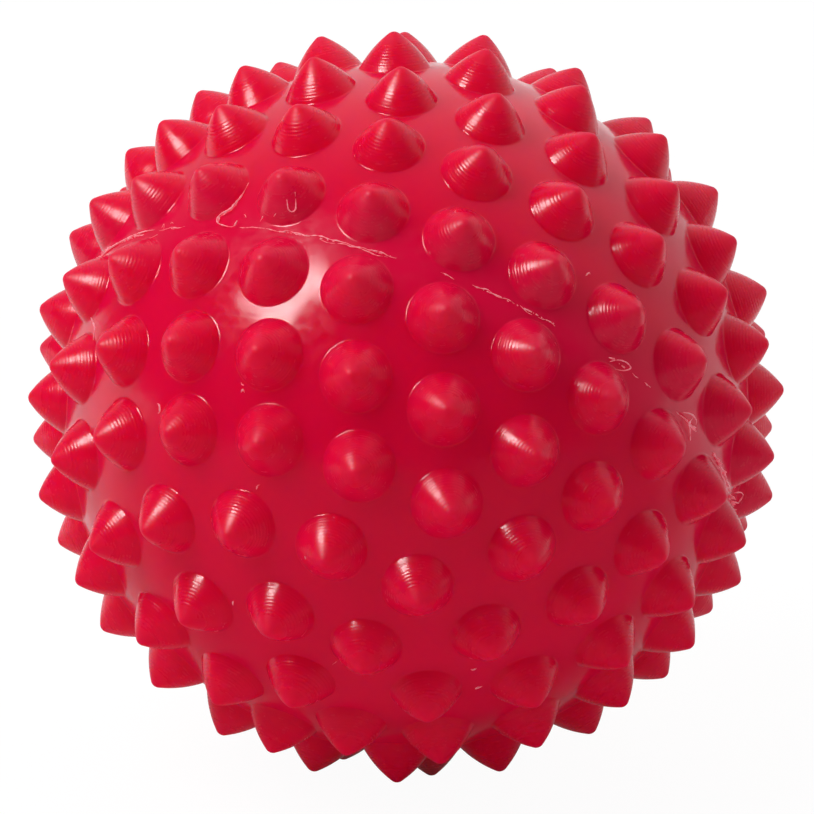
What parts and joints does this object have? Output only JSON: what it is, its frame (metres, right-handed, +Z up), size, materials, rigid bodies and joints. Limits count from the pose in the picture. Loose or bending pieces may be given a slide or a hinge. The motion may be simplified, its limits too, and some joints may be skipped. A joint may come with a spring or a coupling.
{
  "type": "spiked sensory ball",
  "caption": "Hollow soft vinyl ball covered in solid pointed spikes, made of two half shells welded round the middle, with a pull-out air stopper.",
  "frame": {"origin": "centre of the ball", "axes": "+Z up as the ball lies at rest on three spikes of its lower half shell; the viewer of the picture looks along +Y; the air valve is on the far upper side, along (0.333, 0.638, 0.694)"},
  "size_m": [0.0896, 0.0895, 0.0889],
  "materials": {
    "red_vinyl": "glossy, slightly see-through",
    "weld_vinyl": "glossy, ragged edge",
    "seat_vinyl": "satin",
    "plug_plastic": "glossy"
  },
  "bodies": {
    "ball": {"lower_shell": "red_vinyl", "upper_shell": "red_vinyl", "weld_bead": "weld_vinyl", "valve_seat": "seat_vinyl"},
    "plug": {"valve_plug": "plug_plastic"}
  },
  "joints": [
    {"name": "plug_pull", "type": "slide", "parent": "ball", "child": "plug", "axis": [0.3335, 0.6379, 0.6942], "range_m": [0, 0.014]}
  ]
}
